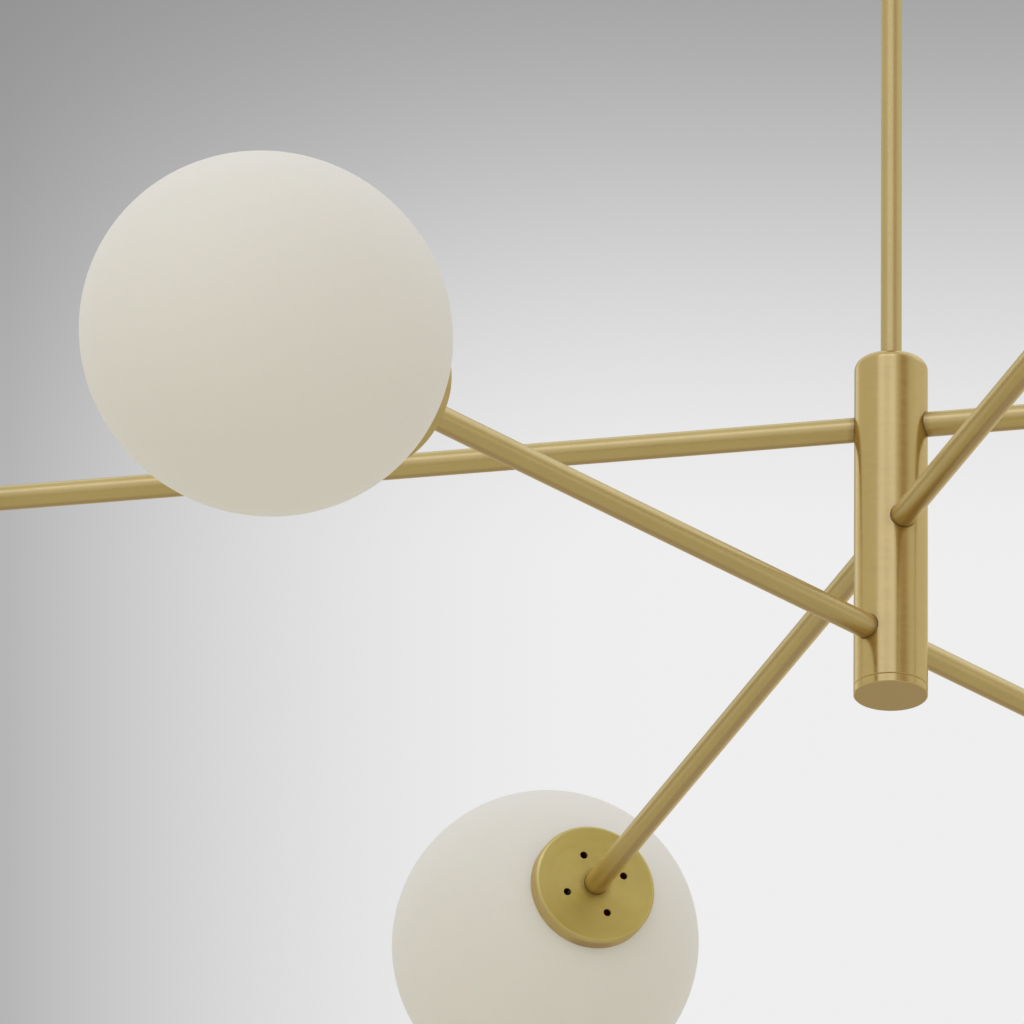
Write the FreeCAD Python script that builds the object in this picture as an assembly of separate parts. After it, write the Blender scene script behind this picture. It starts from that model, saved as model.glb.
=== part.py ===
import FreeCAD
import Part
import math
import os
from collections import namedtuple

Vector = FreeCAD.Vector

# Branch chandelier: three brass arms cross a round brass hub at three heights, 60 degrees
# apart, and each of the six arm ends carries an opal glass globe in a vented brass cap.
# The hub hangs on a thin stem, which hangs on a turning and tilting swivel under a canopy.
# All sizes are in millimetres and degrees. The origin is the middle of the ceiling face,
# +Z is up, and the light hangs below it. The top arm lies along X.

ORIGIN = Vector(0, 0, 0)
X = Vector(1, 0, 0)
Y = Vector(0, 1, 0)
Z = Vector(0, 0, 1)

# ---------------------------------------------------------------- fits between pieces
thread_gap = 0.05            # radial, screwed or pushed together, same assembly
bearing_gap = 0.04           # radial, a journal that turns in its bore
running_gap = 0.3            # between pieces that move past each other
screw_gap = 0.15             # radial, a screw shank in a clearance hole
screw_slot_width = 1.0       # for a flat screwdriver
same_length = 1e-6           # two lengths closer than this are the same

# ---------------------------------------------------------------- lamp thread, M10 x 1
lamp_thread_radius = 5.0
lamp_tube_bore = 3.5
lamp_nut_flats = 14.0
lamp_nut_height = 4.0
washer_radius = 9.0
washer_thickness = 1.0

# ---------------------------------------------------------------- ceiling canopy
canopy_radius = 60.0
canopy_height = 25.0
canopy_wall = 1.2
canopy_edge = 6.0            # rounding of the lower edge, outside
side_screw_drop = 11.0       # below the ceiling
side_screw_radius = 2.0
side_screw_head_radius = 4.5
side_screw_head_length = 6.0
side_screw_reach = 4.0       # past the inner face of the bracket's tab
head_chamfer = 0.8

# ---------------------------------------------------------------- ceiling bracket
bracket_width = 20.0
bracket_thickness = 2.0
bracket_bend = 3.0           # outer bend radius
bracket_tab_drop = 18.0
bracket_play = 0.2           # between the tab's corners and the canopy's wall
ceiling_screw_spacing = 70.0
ceiling_slot_length = 14.0
ceiling_slot_radius = 2.5
cable_hole_radius = 6.0

# ---------------------------------------------------------------- wiring parts in the canopy
terminal_place = 17.0        # from the axis, along X
terminal_width = 13.0
terminal_pitch = 10.0
terminal_poles = 3
terminal_body_height = 8.0
terminal_tower_radius = 2.9
terminal_tower_height = 5.0
terminal_tower_spacing = 6.6
terminal_screw_radius = 1.7
terminal_screw_length = 4.0
terminal_well_depth = 4.5
terminal_wire_radius = 1.6
earth_place = -18.0          # from the axis, along X
earth_screw_radius = 2.0
earth_head_radius = 4.0
earth_head_height = 2.6
earth_head_chamfer = 1.3
earth_slot_depth = 1.3
earth_washer_radius = 5.0
earth_washer_thickness = 0.8

# ---------------------------------------------------------------- swivel under the canopy
swivel_radius = 10.0
swivel_edge = 0.8
housing_height = 16.0
housing_floor = 4.0
nipple_reach = 7.0           # how far the canopy's nipple screws into the housing
journal_radius = 4.0
bolt_head_radius = 4.8
bolt_head_height = 3.0
bolt_bore = 2.5
bolt_grip = 6.0              # how far the hollow bolt screws into the fork
stop_pin_radius = 1.0
stop_pin_place = 6.8         # from the axis
stop_pin_height = 1.7        # above the fork
stop_pin_depth = 4.0         # into the fork
stop_web_angle = 8.0         # the part of the ring groove that is left solid
fork_base_height = 8.0
ear_drop = 7.0               # from the tilt pin to the ears' lower end
tongue_radius = 8.0
tongue_thickness = 7.0
tongue_top_gap = 1.0
tilt_stop_angle = 31.0       # where the stem's shoulder meets the ears
tilt_pin_radius = 2.5
tilt_head_radius = 4.0
tilt_head_height = 2.4
tilt_slot_depth = 1.2
tilt_nut_radius = 4.6
tilt_nut_height = 4.2
tilt_nut_bore_depth = 2.1
tilt_nut_band = 1.68         # the straight part below its dome
tilt_nut_bulge_height = 3.528    # a ring that the dome passes through
tilt_nut_bulge_radius = 3.45
tilt_nut_top_radius = 1.38   # the small flat on the dome
knuckle_body = 18.0          # below the shoulder
knuckle_foot_radius = 7.0
knuckle_taper = 8.0
wire_port_radius = 1.7
wire_port_place = 5.3        # from the axis, beside the tilt pin

# ---------------------------------------------------------------- stem
stem_radius = 5.0
stem_wall = 1.0
stem_socket_depth = 11.0     # in the swivel's lower half
stem_exposed = 400.0         # between the swivel and the hub

# ---------------------------------------------------------------- hub
hub_radius = 17.5
hub_head = 34.0              # from the top arm's axis to the hub's top face
hub_bore = 12.5
hub_top_edge = 4.5           # rounding of the upper edge
hub_top_wall = 8.0
hub_cap_height = 4.3
hub_cap_spigot = 8.0
hub_cap_spigot_bore = 9.0
hub_seam_chamfer = 0.35      # the fine groove where the cap meets the hub
hub_foot_chamfer = 0.4
stem_nut_height = 5.0
stem_tail = 2.0              # stem below its nut

# ---------------------------------------------------------------- arms
arm_radius = 6.0
arm_bore = 4.5
arm_top_height = 140.0       # above the hub's bottom face
arm_middle_height = 86.0
arm_bottom_height = 30.0
arm_top_reach = 542.0        # hub axis to the middle of the globe
arm_middle_reach = 542.0
arm_bottom_reach = 423.0
arm_spread = 60.0            # degrees between one arm and the next
wire_slot_radius = 4.0       # through each arm, inside the hub
grub_radius = 2.0
grub_recess = 1.5
grub_socket_flats = 2.0
grub_socket_depth = 3.0

# ---------------------------------------------------------------- globes and their caps
globe_radius = 80.0
globe_half_length = 84.8     # along the arm
globe_wall = 2.5
neck_wall = 2.6
cap_radius = 32.5
cap_depth = 8.3
cap_rim_wall = 1.6
cap_plate = 2.0
cap_edge = 2.0
vent_count = 4
vent_radius = 2.0
vent_circle = 16.5
vent_clocking = 23.5         # from straight up, towards the left of the arm

# ---------------------------------------------------------------- lamp holders and lamps
end_nipple_inside = 12.0     # length screwed into the arm
end_nipple_tail = 1.5        # beyond the nut
end_nut_height = 3.0
strap_thickness = 1.2
strap_width = 8.0
strap_foot_radius = 7.4      # the ring under the end nut
strap_gap = 7.5              # from the strap's back to the holder
strap_overlap = 11.0         # along the holder's side
holder_width = 24.0
holder_thickness = 16.0
holder_length = 18.0
holder_corner = 5.0
pin_spacing = 9.0
pin_width = 3.4
pin_thickness = 1.0
pin_length = 8.0
pin_slot_play = 0.3
lamp_base_radius = 7.0
lamp_base_length = 10.0
lamp_radius = 8.0
lamp_length = 42.0

# ---------------------------------------------------------------- levels, down from the ceiling
housing_top = -canopy_height
housing_foot = housing_top - housing_height
fork_top = housing_foot - running_gap
fork_slot_top = fork_top - fork_base_height
tilt_level = fork_slot_top - tongue_top_gap - tongue_radius
slot_half_width = tongue_thickness / 2 + running_gap
ear_half_width = math.sqrt(swivel_radius ** 2 - slot_half_width ** 2)
shoulder_drop = (ear_drop * math.cos(math.radians(tilt_stop_angle))
                 + ear_half_width * math.sin(math.radians(tilt_stop_angle)))
shoulder_level = tilt_level - shoulder_drop
knuckle_foot = shoulder_level - knuckle_body
hub_top = knuckle_foot - stem_exposed
hub_height = arm_top_height + hub_head
hub_foot = hub_top - hub_height
hub_ceiling = hub_top - hub_top_wall
stem_foot = hub_ceiling - washer_thickness - stem_nut_height - stem_tail

# ---------------------------------------------------------------- places along an arm
# They are measured from the middle of the globe, and the hub is on the minus side.


def glass_distance(radius, wall=0.0):
    """How far from the globe's middle its skin is, along the arm, at a radius from the arm."""
    half_length = globe_half_length - wall
    return half_length * math.sqrt(1 - (radius / (globe_radius - wall)) ** 2)


cap_lip_place = -glass_distance(cap_radius) - running_gap
cap_lip_inner_place = -glass_distance(cap_radius - cap_rim_wall) - running_gap
cap_face_place = cap_lip_place - cap_depth
cap_floor_place = cap_face_place + cap_plate
neck_radius = cap_radius - cap_rim_wall - running_gap
neck_bore = neck_radius - neck_wall
neck_end_place = cap_floor_place + running_gap
end_nut_place = cap_floor_place + strap_thickness
end_nipple_start = cap_face_place - end_nipple_inside
end_nipple_end = end_nut_place + end_nut_height + end_nipple_tail
holder_back = cap_floor_place + strap_thickness + strap_gap
holder_front = holder_back + holder_length

# The azimuth is in degrees, and the height is above the hub's bottom.
Arm = namedtuple("Arm", "name azimuth height reach")
ARMS = [
    Arm("top", 0.0, arm_top_height, arm_top_reach),
    Arm("middle", -arm_spread, arm_middle_height, arm_middle_reach),
    Arm("bottom", arm_spread, arm_bottom_height, arm_bottom_reach),
]
# name of each end and its direction along its arm
ENDS = [
    ("right", ARMS[0], 0.0),
    ("left", ARMS[0], 180.0),
    ("near", ARMS[1], 0.0),
    ("far", ARMS[1], 180.0),
    ("far", ARMS[2], 0.0),
    ("near", ARMS[2], 180.0),
]


# ================================================================ drawing helpers


def turned(steps, axis):
    """A solid turned about an axis through the origin, from a closed half outline.

    A step (place, radius) is joined to the one before by a straight line. A step
    (middle_place, middle_radius, place, radius) is joined by an arc through its middle.
    """
    side = Z if axis == X else X

    def spot(place, radius):
        return axis * place + side * radius

    edges = []
    last = spot(*steps[0])
    for step in steps[1:] + [steps[0]]:
        end = spot(*step[-2:])
        if len(step) == 4:
            edges.append(Part.Arc(last, spot(*step[:2]), end).toShape())
        else:
            edges.append(Part.LineSegment(last, end).toShape())
        last = end
    return revolved(edges, axis)


def revolved(edges, axis):
    """The solid that a closed loop of edges sweeps in a full turn about the axis."""
    face = Part.Face(Part.Wire(edges))
    solid = face.revolve(ORIGIN, axis, 360)
    if solid.Volume < 0:
        solid.reverse()
    return solid


def round_corner(place, radius, size, place_sign, radius_sign):
    """Start, middle and end of a quarter round that replaces a turned piece's corner.

    The signs say on which side of the corner, along and across, the metal lies.
    """
    inset = size * (1 - math.sqrt(0.5))
    middle = (place + place_sign * inset, radius + radius_sign * inset)
    return (place + place_sign * size, radius), middle, (place, radius + radius_sign * size)


def rod(radius, start, end, axis, origin=ORIGIN):
    """A plain cylinder between two places along an axis."""
    return Part.makeCylinder(radius, end - start, origin + axis * start, axis)


def tube(radius, bore, start, end, axis):
    return rod(radius, start, end, axis).cut(rod(bore, start, end, axis))


def block(low, high):
    size = Vector(*high) - Vector(*low)
    return Part.makeBox(size.x, size.y, size.z, Vector(*low))


def hexagon(flats, start, end, axis):
    """A hexagonal prism along an axis, with its flats facing sideways."""
    side = Z if axis == X else X
    corner = flats / math.sqrt(3)
    other = axis.cross(side)
    points = []
    for k in range(7):
        turn = math.radians(60 * k)
        points.append(axis * start + side * (corner * math.sin(turn)) + other * (corner * math.cos(turn)))
    return Part.Face(Part.makePolygon(points)).extrude(axis * (end - start))


def hex_nut(flats, thread_radius, start, end, axis):
    """A hexagon nut with its corners turned off at both faces."""
    corner = flats / math.sqrt(3)
    slope = (corner - flats / 2) / 2
    envelope = turned([(start, 0), (start, flats / 2), (start + slope, corner), (end - slope, corner),
                       (end, flats / 2), (end, 0)], axis)
    nut = hexagon(flats, start, end, axis).common(envelope)
    return nut.cut(rod(thread_radius + thread_gap, start, end, axis))


def moved(shape, direction, distance):
    copy = shape.copy()
    copy.translate(direction * distance)
    return copy


def crossing(shape, arm, end_direction=0.0):
    """Turn a piece drawn about the hub's axis to an arm's azimuth and lift it to its height."""
    shape.rotate(ORIGIN, Z, arm.azimuth + end_direction)
    shape.translate(Z * (hub_foot + arm.height))
    return shape


def on_arm(shape, arm, end_direction):
    """Put a piece drawn about a globe's middle at an arm's end."""
    return crossing(moved(shape, X, arm.reach), arm, end_direction)


def save(shape, node):
    shape.exportStep(os.path.join("parts", node + ".step"))


# ================================================================ ceiling parts


def tab_outer_face():
    """How far the bracket's tabs reach, so that their corners clear the canopy's round wall."""
    inner_radius = canopy_radius - canopy_wall
    return math.sqrt(inner_radius ** 2 - (bracket_width / 2) ** 2) - bracket_play


def ceiling_bracket():
    """A strip with slots for two ceiling screws and a bent-down, tapped tab at each end."""
    half = tab_outer_face()
    inner = half - bracket_thickness
    inner_bend = bracket_bend - bracket_thickness
    outer_inset = bracket_bend * (1 - math.sqrt(0.5))
    inner_inset = inner_bend * (1 - math.sqrt(0.5))
    top = 0.0
    under = -bracket_thickness

    def spot(x, z):
        return Vector(x, -bracket_width / 2, z)

    corners = []
    for side in (1, -1):
        outer_bend = Part.Arc(spot(side * (half - bracket_bend), top),
                              spot(side * (half - outer_inset), -outer_inset),
                              spot(side * half, -bracket_bend)).toShape()
        inside_bend = Part.Arc(spot(side * (inner - inner_bend), under),
                               spot(side * (inner - inner_inset), under - inner_inset),
                               spot(side * inner, under - inner_bend)).toShape()
        tab = [Part.LineSegment(spot(side * half, -bracket_bend),
                                spot(side * half, -bracket_tab_drop)).toShape(),
               Part.LineSegment(spot(side * half, -bracket_tab_drop),
                                spot(side * inner, -bracket_tab_drop)).toShape(),
               Part.LineSegment(spot(side * inner, -bracket_tab_drop),
                                spot(side * inner, under - inner_bend)).toShape()]
        corners += [outer_bend, inside_bend] + tab
    flats = [Part.LineSegment(spot(bracket_bend - half, top), spot(half - bracket_bend, top)).toShape(),
             Part.LineSegment(spot(inner_bend - inner, under), spot(inner - inner_bend, under)).toShape()]
    loop = Part.Wire(Part.__sortEdges__(corners + flats))
    strip = Part.Face(loop).extrude(Y * bracket_width)
    slot_straight = ceiling_slot_length / 2 - ceiling_slot_radius
    for side in (1, -1):
        place = side * ceiling_screw_spacing / 2
        slot = block((place - slot_straight, -ceiling_slot_radius, under),
                     (place + slot_straight, ceiling_slot_radius, top))
        for end in (1, -1):
            slot = slot.fuse(rod(ceiling_slot_radius, under, top, Z, X * (place + end * slot_straight)))
        strip = strip.cut(slot)
    strip = strip.cut(rod(cable_hole_radius, under, top, Z))
    strip = strip.cut(rod(earth_screw_radius + thread_gap, under, top, Z, X * earth_place))
    screw_line = Z * -side_screw_drop
    strip = strip.cut(rod(side_screw_radius + thread_gap, -half, half, X, screw_line))
    return strip.removeSplitter()


def canopy():
    """A turned cup, open to the ceiling, with a centre hole and two side screw holes."""
    low = -canopy_height
    inner_edge = canopy_edge - canopy_wall
    hole = lamp_thread_radius + screw_gap
    out_start, out_middle, out_end = round_corner(low, canopy_radius, canopy_edge, 1, -1)
    in_start, in_middle, in_end = round_corner(low + canopy_wall, canopy_radius - canopy_wall,
                                               inner_edge, 1, -1)
    cup = turned([(0, canopy_radius), out_start, out_middle + out_end, (low, hole),
                  (low + canopy_wall, hole), in_end, in_middle + in_start,
                  (0, canopy_radius - canopy_wall)], Z)
    holes = rod(side_screw_radius + screw_gap, -canopy_radius, canopy_radius, X, Z * -side_screw_drop)
    return cup.cut(holes)


def canopy_screws():
    """Two thumb screws that hold the canopy to the bracket's tabs."""
    head_end = canopy_radius + side_screw_head_length
    tip = tab_outer_face() - bracket_thickness - side_screw_reach
    chamfer = head_chamfer
    screw = turned([(tip, 0), (tip, side_screw_radius), (canopy_radius, side_screw_radius),
                    (canopy_radius, side_screw_head_radius - chamfer),
                    (canopy_radius + chamfer, side_screw_head_radius),
                    (head_end - chamfer, side_screw_head_radius),
                    (head_end, side_screw_head_radius - chamfer), (head_end, 0)], X)
    screw.translate(Z * -side_screw_drop)
    other = screw.copy()
    other.rotate(ORIGIN, Z, 180)
    return Part.makeCompound([screw, other])


def canopy_fixing_levels():
    """Levels of the washer, the nut and the nipple's top, inside the canopy."""
    washer = -canopy_height + canopy_wall
    nut = washer + washer_thickness
    nipple_top = nut + lamp_nut_height + end_nipple_tail
    return washer, nut, nipple_top


def canopy_nipple():
    top = canopy_fixing_levels()[2]
    return tube(lamp_thread_radius, lamp_tube_bore, housing_top - nipple_reach, top, Z)


def canopy_washer():
    low = canopy_fixing_levels()[0]
    return tube(washer_radius, lamp_thread_radius + screw_gap, low, low + washer_thickness, Z)


def canopy_nut():
    low = canopy_fixing_levels()[1]
    return hex_nut(lamp_nut_flats, lamp_thread_radius, low, low + lamp_nut_height, Z)


def terminal_spots():
    """Middle of each terminal screw: two for each pole, one for each side of the block."""
    spots = []
    for pole in range(terminal_poles):
        y = (pole - (terminal_poles - 1) / 2) * terminal_pitch
        for side in (1, -1):
            spots.append(Vector(terminal_place + side * terminal_tower_spacing / 2, y, 0))
    return spots


def terminal_block():
    """A strip of wire terminals under the bracket, its screw towers pointing down."""
    top = -bracket_thickness
    body_low = top - terminal_body_height
    tower_low = body_low - terminal_tower_height
    half_length = terminal_poles * terminal_pitch / 2
    body = block((terminal_place - terminal_width / 2, -half_length, body_low),
                 (terminal_place + terminal_width / 2, half_length, top))
    for spot in terminal_spots():
        body = body.fuse(rod(terminal_tower_radius, tower_low, body_low, Z, spot))
    for spot in terminal_spots():
        well = rod(terminal_screw_radius + thread_gap, tower_low, tower_low + terminal_well_depth, Z, spot)
        body = body.cut(well)
    for pole in range(terminal_poles):
        spot = terminal_spots()[2 * pole]
        line = Vector(0, spot.y, top - terminal_body_height / 2)
        body = body.cut(rod(terminal_wire_radius, terminal_place - terminal_width / 2,
                            terminal_place + terminal_width / 2, X, line))
    return body.removeSplitter()


def terminal_screws():
    """The clamping screws in the terminal block's towers, seated at the wells' ends."""
    tower_low = -bracket_thickness - terminal_body_height - terminal_tower_height
    seat = tower_low + terminal_well_depth
    screws = []
    for spot in terminal_spots():
        screws.append(rod(terminal_screw_radius, seat - terminal_screw_length, seat, Z, spot))
    return Part.makeCompound(screws)


def earth_screw():
    """A pan-head screw with its washer, for the earth wire, under the bracket."""
    seat = -bracket_thickness
    washer_low = seat - earth_washer_thickness
    head_low = washer_low - earth_head_height
    chamfer = earth_head_chamfer
    screw = turned([(0, 0), (0, earth_screw_radius), (seat, earth_screw_radius),
                    (seat, earth_washer_radius), (washer_low, earth_washer_radius),
                    (washer_low, earth_head_radius), (head_low + chamfer, earth_head_radius),
                    (head_low, earth_head_radius - chamfer), (head_low, 0)], Z)
    slot = block((-earth_head_radius, -screw_slot_width / 2, head_low),
                 (earth_head_radius, screw_slot_width / 2, head_low + earth_slot_depth))
    return moved(screw.cut(slot), X, earth_place)


# ================================================================ swivel


def swivel_housing():
    """The fixed upper half: screwed on the nipple, with the bearing and the stop's ring groove."""
    floor_top = housing_foot + housing_floor
    cavity = lamp_thread_radius + thread_gap
    edge = swivel_edge
    body = turned([(housing_top, cavity), (housing_top, swivel_radius - edge),
                   (housing_top - edge, swivel_radius), (housing_foot + edge, swivel_radius),
                   (housing_foot, swivel_radius - edge), (housing_foot, journal_radius + bearing_gap),
                   (floor_top, journal_radius + bearing_gap), (floor_top, cavity)], Z)
    half_groove = stop_pin_radius + running_gap
    groove_top = fork_top + stop_pin_height + running_gap
    inner = stop_pin_place - half_groove
    outer = stop_pin_place + half_groove
    corners = [Vector(inner, 0, housing_foot), Vector(outer, 0, housing_foot),
               Vector(outer, 0, groove_top), Vector(inner, 0, groove_top)]
    section = Part.Face(Part.makePolygon(corners + corners[:1]))
    groove = section.revolve(ORIGIN, Z, 360 - stop_web_angle)
    groove.rotate(ORIGIN, Z, 180 + stop_web_angle / 2)
    return body.cut(groove)


def swivel_bolt():
    """The hollow bolt that carries the fork: its head turns on the housing's floor."""
    head_low = housing_foot + housing_floor + running_gap
    head_top = head_low + bolt_head_height
    tip = fork_top - bolt_grip
    return turned([(head_top, bolt_bore), (head_top, bolt_head_radius), (head_low, bolt_head_radius),
                   (head_low, journal_radius), (tip, journal_radius), (tip, bolt_bore)], Z)


def stop_pin():
    """A pin in the fork's top face that runs in the ring groove and ends the turn."""
    return rod(stop_pin_radius, fork_top - stop_pin_depth, fork_top + stop_pin_height, Z, X * stop_pin_place)


def swivel_fork():
    """The turning half: a round body whose two ears hold the tilt pin."""
    ear_low = tilt_level - ear_drop
    edge = swivel_edge
    body = turned([(fork_top, 0), (fork_top, swivel_radius - edge), (fork_top - edge, swivel_radius),
                   (ear_low + edge, swivel_radius), (ear_low, swivel_radius - edge), (ear_low, 0)], Z)
    slot = block((-swivel_radius, -slot_half_width, ear_low), (swivel_radius, slot_half_width, fork_slot_top))
    body = body.cut(slot)
    body = body.cut(rod(journal_radius + thread_gap, fork_top - bolt_grip, fork_top, Z))
    body = body.cut(rod(bolt_bore, fork_slot_top, fork_top - bolt_grip, Z))
    body = body.cut(rod(stop_pin_radius + thread_gap, fork_top - stop_pin_depth, fork_top, Z,
                        X * stop_pin_place))
    body = body.cut(rod(tilt_pin_radius + thread_gap, -swivel_radius, swivel_radius, Y, Z * tilt_level))
    for side in (1, -1):
        flat = block((-swivel_radius, min(side * tilt_face(), side * swivel_radius), ear_low),
                     (swivel_radius, max(side * tilt_face(), side * swivel_radius),
                      tilt_level + tilt_nut_radius + running_gap))
        body = body.cut(flat)
    return body


def tilt_face():
    """Distance from the axis of the flats that the tilt pin's head and nut sit on."""
    return math.sqrt(swivel_radius ** 2 - tilt_nut_radius ** 2)


def swivel_pin():
    """The tilt pin, a shouldered screw with a slotted cheese head."""
    face = tilt_face()
    head_end = -face - tilt_head_height
    tip = face + tilt_nut_bore_depth
    pin = turned([(head_end, 0), (head_end, tilt_head_radius), (-face, tilt_head_radius),
                  (-face, tilt_pin_radius), (tip, tilt_pin_radius), (tip, 0)], Y)
    slot = block((-tilt_head_radius, head_end, -screw_slot_width / 2),
                 (tilt_head_radius, head_end + tilt_slot_depth, screw_slot_width / 2))
    return moved(pin.cut(slot), Z, tilt_level)


def swivel_nut():
    """The domed cap nut on the tilt pin's other end."""
    face = tilt_face()
    top = face + tilt_nut_height
    bore = tilt_pin_radius + thread_gap
    bore_end = face + tilt_nut_bore_depth
    bulge = face + tilt_nut_bulge_height
    nut = turned([(face, bore), (face, tilt_nut_radius), (face + tilt_nut_band, tilt_nut_radius),
                  (bulge, tilt_nut_bulge_radius, top, tilt_nut_top_radius), (top, 0), (bore_end, 0),
                  (bore_end, bore)], Y)
    return moved(nut, Z, tilt_level)


def stem_knuckle():
    """The tilting half: a flat tongue on the tilt pin, and the stem's socket below it."""
    edge = swivel_edge
    socket_top = knuckle_foot + stem_socket_depth
    taper_top = knuckle_foot + knuckle_taper
    body = turned([(shoulder_level, 0), (shoulder_level, swivel_radius - edge),
                   (shoulder_level - edge, swivel_radius), (taper_top, swivel_radius),
                   (knuckle_foot, knuckle_foot_radius), (knuckle_foot, stem_radius + thread_gap),
                   (socket_top, stem_radius + thread_gap), (socket_top, 0)], Z)
    half = tongue_thickness / 2
    tongue = rod(tongue_radius, -half, half, Y, Z * tilt_level)
    tongue = tongue.fuse(block((-tongue_radius, -half, shoulder_level), (tongue_radius, half, tilt_level)))
    body = body.fuse(tongue)
    body = body.cut(rod(tilt_pin_radius + bearing_gap, -half, half, Y, Z * tilt_level))
    port = rod(wire_port_radius, socket_top, tilt_level + tongue_radius, Z, X * wire_port_place)
    relief = rod(wire_port_radius, 0, wire_port_place, X, Z * (socket_top + wire_port_radius))
    return body.cut(port).cut(relief).removeSplitter()


# ================================================================ stem and hub


def stem():
    return tube(stem_radius, stem_radius - stem_wall, stem_foot, knuckle_foot + stem_socket_depth, Z)


def hub():
    """A bored bar with a rounded upper edge, crossed by three arm holes."""
    seam = hub_foot + hub_cap_height
    chamfer = hub_seam_chamfer
    start, middle, end = round_corner(hub_top, hub_radius, hub_top_edge, -1, -1)
    hole = stem_radius + thread_gap
    body = turned([(seam, hub_bore), (seam, hub_radius - chamfer), (seam + chamfer, hub_radius),
                   start, middle + end, (hub_top, hole), (hub_ceiling, hole), (hub_ceiling, hub_bore)], Z)
    for arm in ARMS:
        arm_hole = rod(arm_radius + thread_gap, -hub_radius, hub_radius, X)
        screw_hole = rod(grub_radius + thread_gap, 0, hub_radius, Y)
        body = body.cut(crossing(arm_hole.fuse(screw_hole), arm))
    return body


def hub_cap():
    """The bottom cap: a flat disc as wide as the hub, with a hollow spigot in its bore."""
    seam = hub_foot + hub_cap_height
    top = seam + hub_cap_spigot
    spigot = hub_bore - thread_gap
    return turned([(hub_foot, 0), (hub_foot, hub_radius - hub_foot_chamfer),
                   (hub_foot + hub_foot_chamfer, hub_radius), (seam - hub_seam_chamfer, hub_radius),
                   (seam, hub_radius - hub_seam_chamfer), (seam, spigot), (top, spigot),
                   (top, hub_cap_spigot_bore), (seam, hub_cap_spigot_bore), (seam, 0)], Z)


def stem_washer():
    return tube(washer_radius, stem_radius + screw_gap, hub_ceiling - washer_thickness, hub_ceiling, Z)


def stem_nut():
    high = hub_ceiling - washer_thickness
    return hex_nut(lamp_nut_flats, stem_radius, high - stem_nut_height, high, Z)


# ================================================================ arms


def arm_tube(arm):
    """One tube through the hub, tapped at both ends, with a wire slot in its middle."""
    half = arm.reach + cap_face_place
    body = tube(arm_radius, arm_bore, -half, half, X)
    for start in (-half, half - end_nipple_inside):
        body = body.cut(rod(lamp_thread_radius + thread_gap, start, start + end_nipple_inside, X))
    body = body.cut(rod(wire_slot_radius, -arm_radius, arm_radius, Z))
    return crossing(body, arm)


def arm_grub_screws():
    """A socket screw through the hub's wall for each arm, pressing on its side."""
    outer = hub_radius - grub_recess
    screws = []
    for arm in ARMS:
        screw = rod(grub_radius, arm_radius, outer, Y)
        socket = hexagon(grub_socket_flats, outer - grub_socket_depth, outer, Y)
        screws.append(crossing(screw.cut(socket), arm))
    return Part.makeCompound(screws)


# ================================================================ arm ends, drawn about a globe's middle


def end_cap():
    """The round brass cup between an arm and its globe, with its ring of vent holes.

    The lip of its rim slopes, so that it follows the glass.
    """
    hole = lamp_thread_radius + thread_gap
    start, middle, end = round_corner(cap_face_place, cap_radius, cap_edge, 1, -1)
    inner = cap_radius - cap_rim_wall
    body = turned([(cap_face_place, hole), end, middle + start, (cap_lip_place, cap_radius),
                   (cap_lip_inner_place, inner), (cap_floor_place, inner), (cap_floor_place, hole)], X)
    for k in range(vent_count):
        turn = math.radians(vent_clocking + 360.0 * k / vent_count)
        spot = Vector(0, vent_circle * math.sin(turn), vent_circle * math.cos(turn))
        body = body.cut(rod(vent_radius, cap_face_place, cap_floor_place, X, spot))
    return body


def globe_arc(half_length, radius, neck):
    """The skin's outline from the globe's far pole to the neck, where it has the neck's radius."""
    turn = math.pi - math.asin(neck / radius)
    start = 0.0
    ellipse_axes = (X * half_length, Z * radius)
    if radius > half_length:
        start = -math.pi / 2
        ellipse_axes = (Z * radius, X * -half_length)
    return Part.ArcOfEllipse(Part.Ellipse(*ellipse_axes, ORIGIN), start, start + turn).toShape()


def glass_globe():
    """The opal glass: a slightly long ball, blown thin, with a short wide neck."""
    inner_length = globe_half_length - globe_wall
    outer_neck = -glass_distance(neck_radius)
    inner_neck = -glass_distance(neck_bore, globe_wall)
    corners = [Vector(outer_neck, 0, neck_radius), Vector(neck_end_place, 0, neck_radius),
               Vector(neck_end_place, 0, neck_bore), Vector(inner_neck, 0, neck_bore)]
    edges = [globe_arc(globe_half_length, globe_radius, neck_radius)]
    for a, b in zip(corners, corners[1:]):
        edges.append(Part.LineSegment(a, b).toShape())
    edges.append(globe_arc(inner_length, globe_radius - globe_wall, neck_bore))
    edges.append(Part.LineSegment(X * inner_length, X * globe_half_length).toShape())
    return revolved(edges, X)


def end_nipple():
    return tube(lamp_thread_radius, lamp_tube_bore, end_nipple_start, end_nipple_end, X)


def end_nut():
    return hex_nut(lamp_nut_flats, lamp_thread_radius, end_nut_place, end_nut_place + end_nut_height, X)


def holder_strap():
    """The bent steel strap that carries the lamp holder, clamped under the end nut."""
    back = cap_floor_place
    inner = holder_thickness / 2
    outer = inner + strap_thickness
    tip = holder_back + strap_overlap
    half_width = strap_width / 2
    body = block((back, -half_width, -outer), (tip, half_width, outer))
    body = body.cut(block((back + strap_thickness, -half_width, -inner), (tip, half_width, inner)))
    body = body.fuse(rod(strap_foot_radius, back, back + strap_thickness, X))
    return body.cut(rod(lamp_thread_radius + screw_gap, back, back + strap_thickness, X)).removeSplitter()


def pin_places():
    return (pin_spacing / 2, -pin_spacing / 2)


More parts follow.
